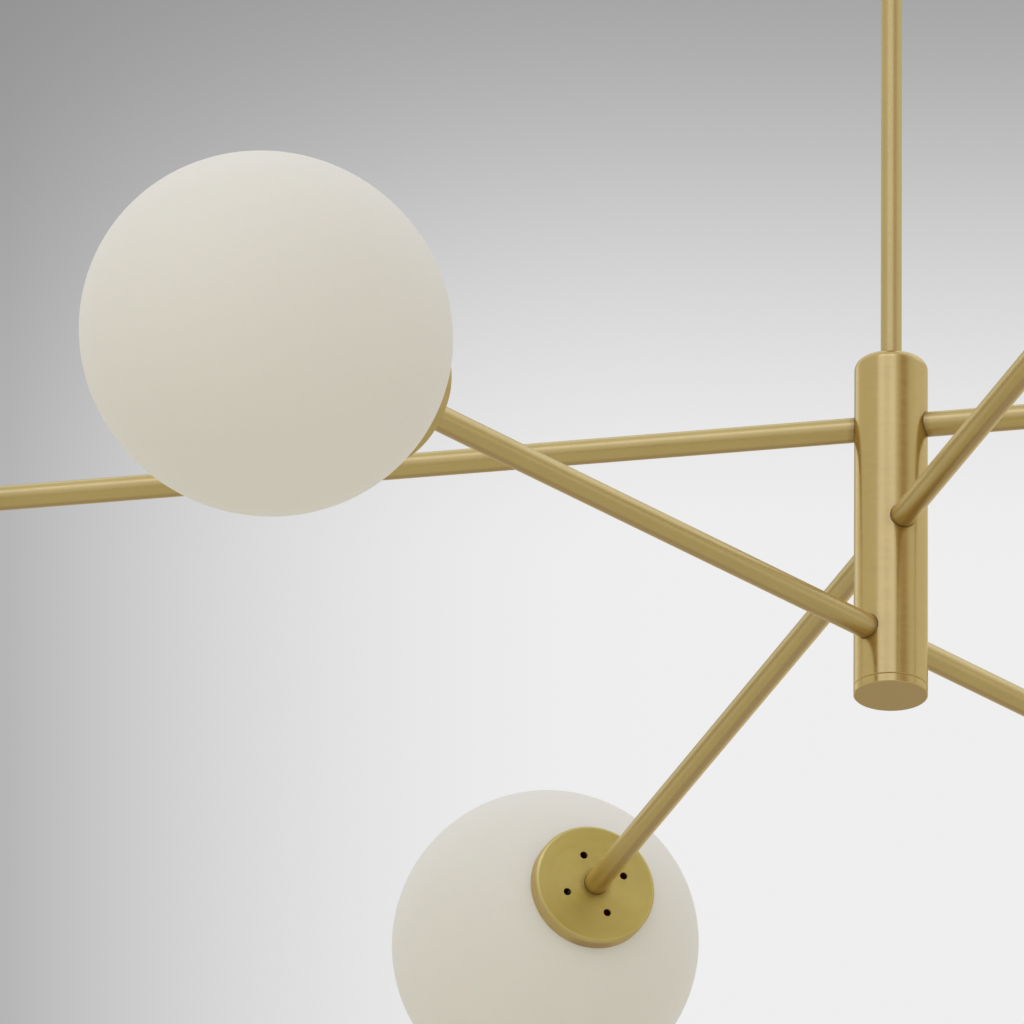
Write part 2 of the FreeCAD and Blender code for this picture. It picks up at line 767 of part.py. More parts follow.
def lamp_holder():
    """A ceramic holder for a two-pin lamp, with rounded long edges and two pin slots."""
    body = block((holder_back, -holder_width / 2, -holder_thickness / 2),
                 (holder_front, holder_width / 2, holder_thickness / 2))
    long_edges = []
    for edge in body.Edges:
        a, b = edge.Vertexes[0].Point, edge.Vertexes[1].Point
        if abs(abs(a.x - b.x) - holder_length) < same_length:
            long_edges.append(edge)
    body = body.makeFillet(holder_corner, long_edges)
    depth = pin_length + pin_slot_play
    half_thick = pin_thickness / 2 + pin_slot_play
    half_wide = pin_width / 2 + pin_slot_play
    for y in pin_places():
        body = body.cut(block((holder_front - depth, y - half_thick, -half_wide),
                              (holder_front, y + half_thick, half_wide)))
    return body


def lamp():
    """A frosted two-pin capsule lamp, pushed home in its holder."""
    dome_start = holder_front + lamp_length - lamp_radius
    base_end = holder_front + lamp_base_length
    middle = (dome_start + lamp_radius * math.sqrt(0.5), lamp_radius * math.sqrt(0.5))
    body = turned([(holder_front, 0), (holder_front, lamp_base_radius), (base_end, lamp_base_radius),
                   (base_end + lamp_radius - lamp_base_radius, lamp_radius), (dome_start, lamp_radius),
                   middle + (dome_start + lamp_radius, 0)], X)
    for y in pin_places():
        body = body.fuse(block((holder_front - pin_length, y - pin_thickness / 2, -pin_width / 2),
                               (holder_front, y + pin_thickness / 2, pin_width / 2)))
    return body


# ================================================================ all pieces


def build():
    os.makedirs("parts", exist_ok=True)
    singles = {
        "ceiling_bracket": ceiling_bracket, "canopy": canopy, "canopy_screws": canopy_screws,
        "canopy_nipple": canopy_nipple, "canopy_washer": canopy_washer, "canopy_nut": canopy_nut,
        "terminal_block": terminal_block, "terminal_screws": terminal_screws,
        "earth_screw": earth_screw, "swivel_housing": swivel_housing, "swivel_bolt": swivel_bolt,
        "stop_pin": stop_pin, "swivel_fork": swivel_fork, "swivel_pin": swivel_pin,
        "swivel_nut": swivel_nut, "stem_knuckle": stem_knuckle, "stem": stem, "hub": hub,
        "hub_cap": hub_cap, "stem_washer": stem_washer, "stem_nut": stem_nut,
        "arm_grub_screws": arm_grub_screws,
    }
    for node, make in singles.items():
        save(make(), node)
    for arm in ARMS:
        save(arm_tube(arm), "arm_" + arm.name)
    own_nodes = {"end_cap": end_cap(), "lamp_holder": lamp_holder(), "lamp": lamp(), "globe": glass_globe()}
    grouped = {"end_nipples": end_nipple(), "end_nuts": end_nut(), "holder_straps": holder_strap()}
    for piece, shape in own_nodes.items():
        for end_name, arm, direction in ENDS:
            save(on_arm(shape, arm, direction), piece + "_" + arm.name + "_" + end_name)
    for node, shape in grouped.items():
        save(Part.makeCompound([on_arm(shape, arm, direction) for _, arm, direction in ENDS]), node)


build()
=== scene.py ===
"""Finishes and studio for the branch chandelier.

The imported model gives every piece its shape. This file gives each piece its finish, models
the knurled canopy screws, and sets up the floor, the lights, the sky and the camera.
"""

import math

import bpy
from mathutils import Matrix, Vector


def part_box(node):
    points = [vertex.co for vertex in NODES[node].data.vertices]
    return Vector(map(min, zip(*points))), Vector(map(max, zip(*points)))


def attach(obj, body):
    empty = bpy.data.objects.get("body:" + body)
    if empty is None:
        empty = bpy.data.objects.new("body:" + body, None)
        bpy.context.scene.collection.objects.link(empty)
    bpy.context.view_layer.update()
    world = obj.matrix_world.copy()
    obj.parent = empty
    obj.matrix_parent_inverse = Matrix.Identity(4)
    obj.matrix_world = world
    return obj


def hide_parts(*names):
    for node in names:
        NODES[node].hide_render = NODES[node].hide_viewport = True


bl_info = {
    "name": "Branch Chandelier",
    "version": (1, 0, 0),
    "blender": (4, 5, 0),
    "location": "View3D > Sidebar > Chandelier",
    "description": "Finishes, small pieces and studio for a branch chandelier",
    "category": "3D View",
}

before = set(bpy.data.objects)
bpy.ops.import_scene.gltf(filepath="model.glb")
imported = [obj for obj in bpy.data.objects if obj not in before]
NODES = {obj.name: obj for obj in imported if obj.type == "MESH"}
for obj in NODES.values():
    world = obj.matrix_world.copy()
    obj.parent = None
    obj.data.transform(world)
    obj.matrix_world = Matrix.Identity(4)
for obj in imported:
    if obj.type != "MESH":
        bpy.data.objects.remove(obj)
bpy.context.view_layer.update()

# Direction of each arm in degrees, and the names of its two ends.
ARM_TURN = {"top": 0.0, "middle": -60.0, "bottom": 60.0}
ARM_ENDS = {"top": ("right", "left"), "middle": ("near", "far"), "bottom": ("far", "near")}


def middle_of(node):
    low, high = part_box(node)
    return (low + high) / 2


def half_width(node, side=0):
    low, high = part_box(node)
    return (high[side] - low[side]) / 2


HUB_RADIUS = half_width("hub")
ARM_RADIUS = half_width("arm_top", 2)
ARM_LEVEL = {tier: middle_of("arm_" + tier).z for tier in ARM_TURN}


def arm_half_length(tier):
    """From the hub's axis to the face of the cap at the arm's end."""
    turn = math.radians(ARM_TURN[tier])
    width = ARM_RADIUS * abs(math.sin(turn))
    return (half_width("arm_" + tier) - width) / math.cos(turn)


# ---------------------------- settings

COLOUR = {"subtype": "COLOR", "size": 3, "min": 0.0, "max": 1.0}
LIGHT_COLOUR = {**COLOUR, "max": 2.0}
SHARE = {"subtype": "FACTOR", "min": 0.0, "max": 1.0}
LENGTH = {"subtype": "DISTANCE", "unit": "LENGTH", "precision": 6}


class BrassFinish(bpy.types.PropertyGroup):
    colour: bpy.props.FloatVectorProperty(
        name="Brass", description="Colour of the satin brass",
        default=(0.58, 0.44, 0.185), **COLOUR)
    # Painted shade: the dark brown that the joints darken towards, in place of their shade.
    painted_shade_colour: bpy.props.FloatVectorProperty(
        name="Tarnish", description="Colour of the brass in its joints",
        default=(0.17, 0.09, 0.03), **COLOUR)
    cap_colour: bpy.props.FloatVectorProperty(
        name="Cap faces", description="Colour of the flat faces of the caps",
        default=(0.66, 0.56, 0.195), **COLOUR)
    rod_colour: bpy.props.FloatVectorProperty(
        name="Arms", description="Colour of the drawn brass tubes",
        default=(0.585, 0.457, 0.20), **COLOUR)
    # Painted shade and reflection: the darker colour of faces turned straight down, in place of
    # their shade and the floor they reflect.
    painted_underside_colour: bpy.props.FloatVectorProperty(
        name="Under faces", description="Colour of faces turned straight down",
        default=(0.47, 0.34, 0.175), **COLOUR)
    edge: bpy.props.FloatVectorProperty(
        name="Edge tint", description="Tint of the reflection at a flat angle",
        default=(1.0, 0.90, 0.66), **COLOUR)
    roughness: bpy.props.FloatProperty(
        name="Roughness", description="How far the satin finish spreads a reflection",
        default=0.24, **SHARE)
    disc_roughness: bpy.props.FloatProperty(
        name="Roughness, caps", description="The same for the wide faces of the caps",
        default=0.40, **SHARE)
    stem_roughness: bpy.props.FloatProperty(
        name="Roughness, stem", description="The same for the thin stem",
        default=0.43, **SHARE)
    arm_roughness: bpy.props.FloatProperty(
        name="Roughness, arms", description="The same for the arms",
        default=0.36, **SHARE)
    stretch: bpy.props.FloatProperty(
        name="Stretch", description="How far the turned lines draw a reflection out",
        default=0.45, **SHARE)
    lacquer: bpy.props.FloatProperty(
        name="Lacquer", description="Weight of the clear lacquer",
        default=0.2, **SHARE)
    line_width: bpy.props.FloatProperty(
        name="Line width", description="Width of one brushed line",
        min=0.00005, max=0.002, default=0.00045, **LENGTH)
    line_depth: bpy.props.FloatProperty(
        name="Line depth", description="Depth of the brushed lines",
        min=0.0, max=0.0005, default=0.000006, **LENGTH)
    # Painted shade: the thin dark line where pieces meet.
    joint_width: bpy.props.FloatProperty(
        name="Joint shade", description="Width of the dark line where pieces meet",
        min=0.0, max=0.005, default=0.0007, **LENGTH)
    # Painted shade: the wider brown haze round a joint. It stands in for the joint's shade and for
    # the dark parts that it reflects.
    soft_shade_width: bpy.props.FloatProperty(
        name="Soft shade", description="Width of the brown haze round a joint",
        min=0.0, max=0.02, default=0.004, **LENGTH)


class GlassFinish(bpy.types.PropertyGroup):
    colour: bpy.props.FloatVectorProperty(
        name="Opal", description="Colour of the matt opal glass",
        default=(0.70, 0.68, 0.635), **COLOUR)
    roughness: bpy.props.FloatProperty(
        name="Roughness", description="Roughness of the etched glass",
        default=0.62, **SHARE)
    glow: bpy.props.FloatProperty(
        name="Depth of light", description="Share of light that spreads inside the glass",
        default=0.15, **SHARE)


class FittingFinish(bpy.types.PropertyGroup):
    steel: bpy.props.FloatVectorProperty(
        name="Zinc steel", description="Colour of the zinc-plated steel",
        default=(0.58, 0.565, 0.52), **COLOUR)
    ceramic: bpy.props.FloatVectorProperty(
        name="Ceramic", description="Colour of the lamp holders",
        default=(0.78, 0.765, 0.72), **COLOUR)
    lamp: bpy.props.FloatVectorProperty(
        name="Lamp", description="Colour of the frosted lamps",
        default=(0.80, 0.79, 0.76), **COLOUR)
    plastic: bpy.props.FloatVectorProperty(
        name="Terminal block", description="Colour of the terminal block",
        default=(0.72, 0.72, 0.69), **COLOUR)


class ScrewSizes(bpy.types.PropertyGroup):
    ridges: bpy.props.IntProperty(
        name="Ridges", description="Knurled ridges round a canopy screw's head",
        min=8, max=72, default=30)
    ridge_depth: bpy.props.FloatProperty(
        name="Ridge depth", description="Depth of the knurl",
        min=0.0, max=0.002, default=0.00035, **LENGTH)
    head_edge: bpy.props.FloatProperty(
        name="Head edge", description="Width of the sloping edges of the head",
        min=0.0001, max=0.002, default=0.0008, **LENGTH)
    rim_width: bpy.props.FloatProperty(
        name="Rim", description="Width of the flat rim round the dished face",
        min=0.0001, max=0.003, default=0.0009, **LENGTH)
    dish_depth: bpy.props.FloatProperty(
        name="Dish depth", description="Depth of the dish in the head's face",
        min=0.0, max=0.003, default=0.0004, **LENGTH)
    shank_radius: bpy.props.FloatProperty(
        name="Shank radius", description="Radius of the screw's shank",
        min=0.0005, max=0.004, default=0.002, **LENGTH)
    tip_length: bpy.props.FloatProperty(
        name="Tip", description="Length of the narrowed tip",
        min=0.0001, max=0.003, default=0.0005, **LENGTH)
    edge_round: bpy.props.FloatProperty(
        name="Edge rounding", description="Width of the rounding on the screw's edges",
        min=0.0, max=0.0005, default=0.00008, **LENGTH)


class StudioSettings(bpy.types.PropertyGroup):
    floor_level: bpy.props.FloatProperty(
        name="Floor level", description="Height of the floor, from the ceiling at zero",
        min=-10.0, max=-1.0, default=-2.6, **LENGTH)
    floor_colour: bpy.props.FloatVectorProperty(
        name="Floor", description="Colour of the floor",
        default=(0.90, 0.88, 0.79), **COLOUR)
    floor_mirrored: bpy.props.FloatVectorProperty(
        name="Floor, mirrored", description="The floor, as the metal shows it",
        default=(0.675, 0.65, 0.55), **COLOUR)
    backdrop: bpy.props.FloatVectorProperty(
        name="Backdrop", description="Backdrop colour, low and to the right",
        default=(0.86, 0.86, 0.86), **COLOUR)
    backdrop_left: bpy.props.FloatVectorProperty(
        name="Backdrop, left", description="Backdrop colour, low and to the left",
        default=(0.468, 0.468, 0.468), **COLOUR)
    backdrop_high: bpy.props.FloatVectorProperty(
        name="Backdrop, high", description="Backdrop colour high up",
        default=(0.327, 0.327, 0.327), **COLOUR)
    backdrop_corner: bpy.props.FloatVectorProperty(
        name="Backdrop, corner", description="Backdrop colour, high and to the left",
        default=(0.278, 0.278, 0.278), **COLOUR)
    walls: bpy.props.FloatVectorProperty(
        name="Walls", description="The studio's walls, as the metal shows them",
        default=(0.70, 0.675, 0.585), **COLOUR)
    ceiling: bpy.props.FloatVectorProperty(
        name="Ceiling", description="The studio's ceiling, as the metal shows it",
        default=(0.80, 0.81, 0.80), **COLOUR)
    softbox: bpy.props.FloatVectorProperty(
        name="Softbox", description="The softboxes' faces, as the metal shows them",
        default=(0.91, 0.94, 1.15), **LIGHT_COLOUR)
    flag: bpy.props.FloatVectorProperty(
        name="Dark flag", description="The dark board beside the camera, as the metal shows it",
        default=(0.46, 0.36, 0.24), **COLOUR)
    far_light: bpy.props.FloatVectorProperty(
        name="Far lights", description="The high softboxes at the sides, as the metal shows them",
        default=(1.05, 1.12, 1.35), **LIGHT_COLOUR)
    far_wall: bpy.props.FloatVectorProperty(
        name="Far wall", description="The wall low down on the far left, as the metal shows it",
        default=(0.42, 0.38, 0.28), **COLOUR)
    room_low: bpy.props.FloatVectorProperty(
        name="Room light, low", description="Colour of the light from the horizon",
        default=(1.0, 0.985, 0.94), **COLOUR)
    room_high: bpy.props.FloatVectorProperty(
        name="Room light, high", description="Colour of the light from straight above",
        default=(0.85, 0.845, 0.83), **COLOUR)
    room_light: bpy.props.FloatProperty(
        name="Room light", description="Strength of the light from all round",
        min=0.0, max=3.0, default=0.98)
    key_light: bpy.props.FloatProperty(
        name="Key light", description="Brightness of the large softbox in front",
        min=0.0, max=5.0, default=0.65)
    top_light: bpy.props.FloatProperty(
        name="Top light", description="Brightness of the softbox above",
        min=0.0, max=5.0, default=0.16)


class CameraSettings(bpy.types.PropertyGroup):
    place: bpy.props.FloatVectorProperty(
        name="Place", description="Where the camera stands", subtype="TRANSLATION",
        unit="LENGTH", size=3, precision=4, default=(0.7162, -3.8609, -2.4200))
    lens: bpy.props.FloatProperty(
        name="Lens", description="Focal length in millimetres on a 36 mm frame",
        unit="CAMERA", min=10.0, max=1000.0, default=322.08)
    heading: bpy.props.FloatProperty(
        name="Heading", description="Turn to the right of straight at the back wall, in degrees",
        default=-13.128)
    pitch: bpy.props.FloatProperty(
        name="Pitch", description="Tilt above the horizon, in degrees", default=25.253)
    roll: bpy.props.FloatProperty(
        name="Roll", description="Turn about the line of sight, in degrees", default=1.193)


# ---------------------------- shader building


class Graph:
    """Adds nodes to a node tree. A socket given as a value is wired, anything else is set."""

    def __init__(self, tree):
        self.tree = tree

    def feed(self, socket, value):
        if isinstance(value, bpy.types.NodeSocket):
            self.tree.links.new(value, socket)
        else:
            socket.default_value = value

    def fill(self, node, feeds):
        for key, value in feeds.items():
            self.feed(node.inputs[key], value)

    def add(self, kind, feeds=None, **settings):
        node = self.tree.nodes.new("ShaderNode" + kind)
        for key, value in settings.items():
            setattr(node, key, value)
        self.fill(node, feeds or {})
        return node

    def place(self):
        """Object coordinates."""
        return self.add("TexCoord").outputs["Object"]

    def facing(self):
        """The surface's normal in object coordinates."""
        return self.add("TexCoord").outputs["Normal"]

    def parts(self, vector):
        """The X, Y and Z of a vector."""
        return self.add("SeparateXYZ", {"Vector": vector}).outputs

    def joined(self, feeds):
        """A vector made of its X, Y and Z."""
        return self.add("CombineXYZ", feeds).outputs["Vector"]

    def math(self, operation, a, b=0.0, clamp=False):
        node = self.add("Math", {0: a, 1: b}, operation=operation, use_clamp=clamp)
        return node.outputs["Value"]

    def plus(self, a, b, clamp=False):
        return self.math("ADD", a, b, clamp)

    def times(self, a, b, clamp=False):
        return self.math("MULTIPLY", a, b, clamp)

    def minus(self, a, b):
        return self.math("SUBTRACT", a, b)

    def gap(self, a, b):
        """How far apart two values are."""
        return self.math("ABSOLUTE", self.minus(a, b))

    def vector(self, operation, a, b=(0.0, 0.0, 0.0)):
        node = self.add("VectorMath", {0: a, 1: b}, operation=operation)
        return node.outputs["Value" if operation in ("LENGTH", "DOT_PRODUCT") else "Vector"]

    def dot(self, a, b):
        return self.vector("DOT_PRODUCT", a, b)

    def length(self, vector):
        return self.vector("LENGTH", vector)

    def scaled(self, a, factor):
        """A vector or a colour, times a number."""
        if not isinstance(a, bpy.types.NodeSocket):
            a = tuple(a)[:3]
        node = self.add("VectorMath", {0: a, "Scale": factor}, operation="SCALE")
        return node.outputs["Vector"]

    def ramp(self, value, low, high, out_low=0.0, out_high=1.0):
        """A smooth step from one value to another."""
        node = self.add("MapRange", {"Value": value, "From Min": low, "From Max": high,
                                     "To Min": out_low, "To Max": out_high},
                        interpolation_type="SMOOTHSTEP")
        return node.outputs["Result"]

    def band(self, value, start, full, fading, end):
        """1 from full to fading, and nothing before start and after end."""
        return self.times(self.ramp(value, start, full),
                          self.ramp(value, fading, end, 1.0, 0.0))

    def noise(self, vector, scale, detail=2.0, roughness=0.5):
        node = self.add("TexNoise", {"Vector": vector, "Scale": scale, "Detail": detail,
                                     "Roughness": roughness})
        return node.outputs["Fac"]

    def bump(self, height, distance=1.0, strength=1.0):
        node = self.add("Bump", {"Height": height, "Distance": distance, "Strength": strength})
        return node.outputs["Normal"]

    def mix(self, factor, a, b):
        """A colour between a and b."""
        node = self.add("Mix", data_type="RGBA")
        sockets = [s for s in node.inputs if s.enabled]
        for socket, value in zip(sockets, (factor, a, b)):
            self.feed(socket, value)
        return next(s for s in node.outputs if s.enabled)

    def mix_shaders(self, factor, a, b):
        return self.add("MixShader", {0: factor, 1: a, 2: b}).outputs[0]

    def effect(self, group, feeds):
        """One of the shared effects, placed with its own values."""
        return self.add("Group", feeds, node_tree=bpy.data.node_groups[group]).outputs


def rgba(colour):
    return (*colour, 1.0)


def new_material(name):
    """An empty material with a Principled shader, and the graph that feeds it."""
    made = bpy.data.materials.new(name)
    made.use_nodes = True
    made.node_tree.nodes.clear()
    graph = Graph(made.node_tree)
    shader = graph.add("BsdfPrincipled")
    graph.add("OutputMaterial", {"Surface": shader.outputs["BSDF"]})
    return made, graph, shader


def new_effect(name, inputs, outputs):
    """An empty shader group with named sockets. Returns its graph, inputs and output node."""
    tree = bpy.data.node_groups.new(name, "ShaderNodeTree")
    for label, kind, value in inputs:
        socket = tree.interface.new_socket(name=label, in_out="INPUT",
                                           socket_type="NodeSocket" + kind)
        if value is not None:
            socket.default_value = value
    for label in outputs:
        tree.interface.new_socket(name=label, in_out="OUTPUT", socket_type="NodeSocketFloat")
    entry = tree.nodes.new("NodeGroupInput")
    leave = tree.nodes.new("NodeGroupOutput")
    return Graph(tree), entry.outputs, leave.inputs


# ---------------------------- shared effects

# The input of every effect that takes the coordinates of its pattern.
PLACE = ("Vector", "Vector", None)
# Keeps a division away from zero.
TINY = 0.00001
# Dust lies where a surface looks up this far. Its specks come from this range of the noise,
# and between them is this share of dust.
LOOKING_UP = (0.35, 0.95)
SPECK_RANGE = (0.42, 0.75)
BETWEEN_SPECKS = 0.45


def build_turned_lines():
    """Fine lines round an axis along X, as a lathe or a brushing belt leaves them."""
    graph, given, result = new_effect(
        "Turned Lines", [PLACE, ("Line Width", "Float", 0.0003), ("Arc", "Float", 2.0)],
        ["Lines", "Broad Lines"])
    parts = graph.parts(given["Vector"])
    across = graph.joined({"Y": parts["Y"], "Z": parts["Z"]})
    profile = graph.plus(parts["X"], graph.length(across))
    around = graph.parts(graph.scaled(graph.vector("NORMALIZE", across), given["Arc"]))
    for label, width in (("Lines", 1.0), ("Broad Lines", 6.0)):
        pitch = graph.times(given["Line Width"], width)
        spot = graph.joined({"X": graph.math("DIVIDE", profile, pitch),
                             "Y": around["Y"], "Z": around["Z"]})
        graph.feed(result[label], graph.noise(spot, scale=1.0, detail=2.0, roughness=0.6))


def build_satin_tone():
    """Soft clouds of tone, as handling and lacquer leave on brushed metal."""
    graph, given, result = new_effect(
        "Satin Tone", [PLACE, ("Patch Size", "Float", 0.03), ("Contrast", "Float", 0.1)],
        ["Tone"])
    cloud = graph.noise(given["Vector"], scale=graph.math("DIVIDE", 1.0, given["Patch Size"]),
                        detail=3.0, roughness=0.55)
    swing = graph.times(graph.minus(cloud, 0.5), given["Contrast"])
    graph.feed(result["Tone"], graph.plus(swing, 1.0))


def build_joint_shade():
    """Painted shade: a dark line that fades out with distance from a joint, a little uneven."""
    graph, given, result = new_effect(
        "Joint Shade", [PLACE, ("Distance", "Float", 1.0), ("Width", "Float", 0.001)],
        ["Mask"])
    uneven = graph.plus(graph.noise(given["Vector"], scale=600.0), 0.5)
    width = graph.math("MAXIMUM", graph.times(given["Width"], uneven), TINY)
    share = graph.math("DIVIDE", given["Distance"], width)
    graph.feed(result["Mask"], graph.ramp(share, 0.0, 1.0, 1.0, 0.0))


def build_resting_dust():
    """A thin uneven layer of dust on faces that look up."""
    graph, given, result = new_effect(
        "Resting Dust", [PLACE, ("Facing", "Vector", None), ("Amount", "Float", 0.1)],
        ["Mask"])
    lying = graph.ramp(graph.parts(given["Facing"])["Z"], *LOOKING_UP)
    cloud = graph.noise(given["Vector"], scale=900.0, detail=4.0, roughness=0.7)
    specks = graph.ramp(cloud, *SPECK_RANGE, BETWEEN_SPECKS, 1.0)
    layer = graph.times(lying, specks)
    graph.feed(result["Mask"], graph.times(layer, given["Amount"], clamp=True))


def build_fine_grain():
    """A fine even grain for etched, moulded or fired surfaces."""
    graph, given, result = new_effect(
        "Fine Grain", [PLACE, ("Grain Size", "Float", 0.0005)], ["Grain"])
    scale = graph.math("DIVIDE", 1.0, given["Grain Size"])
    graph.feed(result["Grain"], graph.noise(given["Vector"], scale, detail=3.0, roughness=0.6))


def build_thread():
    """Ridges along X, one for each turn of a screw thread."""
    graph, given, result = new_effect(
        "Screw Thread", [PLACE, ("Pitch", "Float", 0.001)], ["Height"])
    parts = graph.parts(given["Vector"])
    turn = graph.math("DIVIDE", graph.math("ARCTAN2", parts["Z"], parts["Y"]), 2 * math.pi)
    place = graph.plus(graph.math("DIVIDE", parts["X"], given["Pitch"]), turn)
    graph.feed(result["Height"], graph.math("PINGPONG", place, 0.5))


def build_effects():
    build_turned_lines()
    build_satin_tone()
    build_joint_shade()
    build_resting_dust()
    build_fine_grain()
    build_thread()


# ---------------------------- finishes

# Noise seldom leaves this range.
NOISE_RANGE = (0.3, 0.7)

# Brass: how strongly its lines show in its tone, and how far they swing its roughness.
FINE_CONTRAST = 0.10
BROAD_CONTRAST = 0.08
SATIN_SWING = 0.03
# Where a face turns square to the piece's axis, and where one turns straight down and takes the
# painted shade of an underside.
SQUARE_FACE = (0.75, 0.97)
FACE_DOWN = (-0.9, -0.99)
# The dark line in a joint, which is painted shade: its share of the shade colour, and what it adds
# to the roughness.
JOINT_DARKNESS = 0.85
JOINT_ROUGHNESS = 0.2
THREAD_PITCH = 0.001
# How high a thread's flank would rise over a whole turn.
THREAD_RISE = 0.0006
COAT_ROUGHNESS = 0.22

BRASS_DUST = (0.62, 0.60, 0.55)
PALE_DUST = (0.5, 0.48, 0.44)
DUST_ROUGHNESS = 0.6

# Opal glass and steel: depth of the grain's bump, and how the grain and the spangle's cells
# change the tone. A cell's own value is the mean of its colour.
GRAIN_DEPTH = 0.00002
SPECK_SWING, SPECK_LEVEL = 0.03, 0.985
CELL_MEAN = (0.33, 0.33, 0.33)
CELL_RANGE = (0.2, 0.8)
SPANGLE_TONE = (0.93, 1.07)
STEEL_ROUGHNESS = 0.36
# How far the grain swings the roughness of ceramic, plastic and lamps.
PALE_SWING = 0.04


def piece_frame(graph, turn=0.0, level=0.0, upright=False):
    """Object coordinates turned so that X runs along the piece's own axis."""
    turned = (0.0, math.pi / 2, 0.0) if upright else (0.0, 0.0, -math.radians(turn))
    shift = (0.0, 0.0, 0.0) if upright else (0.0, 0.0, -level)
    return graph.add("Mapping", {"Vector": graph.place(), "Rotation": turned,
                                 "Location": shift}, vector_type="POINT").outputs["Vector"]


def axis_direction(turn=0.0, upright=False):
    if upright:
        return (0.0, 0.0, 1.0)
    return (math.cos(math.radians(turn)), math.sin(math.radians(turn)), 0.0)


def highlight_direction(graph, axis, level):
    """Across the turned lines, in the surface: along a rod, and outwards on a disc's face."""
    spot = graph.vector("SUBTRACT", graph.place(), (0.0, 0.0, level))
    lines = graph.vector("CROSS_PRODUCT", axis, spot)
    across = graph.vector("CROSS_PRODUCT", lines, graph.facing())
    turned = graph.add("VectorTransform", {"Vector": graph.vector("NORMALIZE", across)},
                       vector_type="VECTOR", convert_from="OBJECT", convert_to="WORLD")
    return turned.outputs["Vector"]


def off_axis(graph, vector):
    """Distance from the X axis of a piece's frame."""
    parts = graph.parts(vector)
    return graph.length(graph.joined({"Y": parts["Y"], "Z": parts["Z"]}))


def satin_tone(graph, place, patch_size, contrast):
    return graph.effect("Satin Tone", {"Vector": place, "Patch Size": patch_size,
                                       "Contrast": contrast})["Tone"]


def fine_grain(graph, place, size):
    return graph.effect("Fine Grain", {"Vector": place, "Grain Size": size})["Grain"]


def resting_dust(graph, place, amount):
    return graph.effect("Resting Dust", {"Vector": place, "Facing": graph.facing(),
                                         "Amount": amount})["Mask"]


def brass_material(name, settings, turn=0.0, level=0.0, upright=False, joints=(), colour=None,
                   face_colour=None, roughness=None, thread=False, shade_haze_share=0.4):
    """Satin brass, brushed round its axis, lacquered, and darkened in its joints by painted shade.
    """
    made, graph, shader = new_material(name)
    local = piece_frame(graph, turn, level, upright)
    axis = axis_direction(turn, upright)
    lines = graph.effect("Turned Lines", {"Vector": local, "Line Width": settings.line_width,
                                          "Arc": 2.5})
    fine = graph.times(graph.minus(lines["Lines"], 0.5), FINE_CONTRAST)
    broad = graph.times(graph.minus(lines["Broad Lines"], 0.5), BROAD_CONTRAST)
    tone = satin_tone(graph, local, patch_size=0.035, contrast=0.12)
    tone = graph.plus(tone, graph.plus(fine, broad))

    plain = rgba(settings.colour if colour is None else colour)
    if face_colour is not None:
        squarely = graph.math("ABSOLUTE", graph.dot(graph.facing(), axis))
        plain = graph.mix(graph.ramp(squarely, *SQUARE_FACE), plain, rgba(face_colour))
    # Painted shade and reflection: faces turned straight down take a darker brown in place of
    # their shade and the floor they reflect.
    under = graph.ramp(graph.parts(graph.facing())["Z"], *FACE_DOWN)
    metal = graph.mix(under, graph.scaled(plain, tone), rgba(settings.painted_underside_colour))
    dust = resting_dust(graph, local, amount=0.05)
    shown = graph.mix(dust, metal, rgba(BRASS_DUST))

    satin = settings.roughness if roughness is None else roughness
    rough = graph.ramp(lines["Broad Lines"], *NOISE_RANGE,
                       satin - SATIN_SWING, satin + SATIN_SWING)
    rough = graph.plus(rough, graph.times(dust, DUST_ROUGHNESS))
    # Painted shade: near each joint the colour darkens towards the shade colour, in a thin line
    # and a wider haze.
    for joint in joints:
        distance = joint(graph, local)
        line, haze = [graph.effect("Joint Shade", {"Vector": local, "Distance": distance,
                                                   "Width": width})["Mask"]
                      for width in (settings.joint_width, settings.soft_shade_width)]
        shade = graph.math("MAXIMUM", graph.times(line, JOINT_DARKNESS),
                           graph.times(haze, shade_haze_share))
        shown = graph.mix(shade, shown, rgba(settings.painted_shade_colour))
        rough = graph.plus(rough, graph.times(line, JOINT_ROUGHNESS))

    height = graph.times(lines["Lines"], settings.line_depth)
    if thread:
        ridges = graph.effect("Screw Thread", {"Vector": local, "Pitch": THREAD_PITCH})["Height"]
        height = graph.plus(height, graph.times(ridges, THREAD_RISE))
    graph.fill(shader, {
        "Base Color": shown, "Roughness": rough, "Normal": graph.bump(height),
        "Metallic": 1.0, "Specular Tint": rgba(settings.edge),
        "Anisotropic": settings.stretch, "Tangent": highlight_direction(graph, axis, level),
        "Coat Weight": settings.lacquer, "Coat Roughness": COAT_ROUGHNESS})
    return made


def arm_meets(distance_from):
    """A joint at a distance from the arm's own axis."""
    def distance(graph, local):
        return graph.gap(off_axis(graph, local), distance_from)
    return distance


def arm_ends_at(half_length):
    """A joint at each end of an arm."""
    def distance(graph, local):
        along = graph.math("ABSOLUTE", graph.parts(local)["X"])
        return graph.gap(half_length, along)
    return distance


def upright_wall_at(radius):
    """A joint with an upright round wall about the hub's axis."""
    def distance(graph, local):
        parts = graph.parts(graph.place())
        out = graph.length(graph.joined({"X": parts["X"], "Y": parts["Y"]}))
        return graph.gap(out, radius)
    return distance


def arm_hole(tier):
    """The joint on the hub where an arm goes through it."""
    def distance(graph, local):
        line = piece_frame(graph, ARM_TURN[tier], ARM_LEVEL[tier])
        return graph.gap(off_axis(graph, line), ARM_RADIUS)
    return distance


def level_line(level):
    """A joint at a level."""
    def distance(graph, local):
        return graph.gap(graph.parts(graph.place())["Z"], level)
    return distance


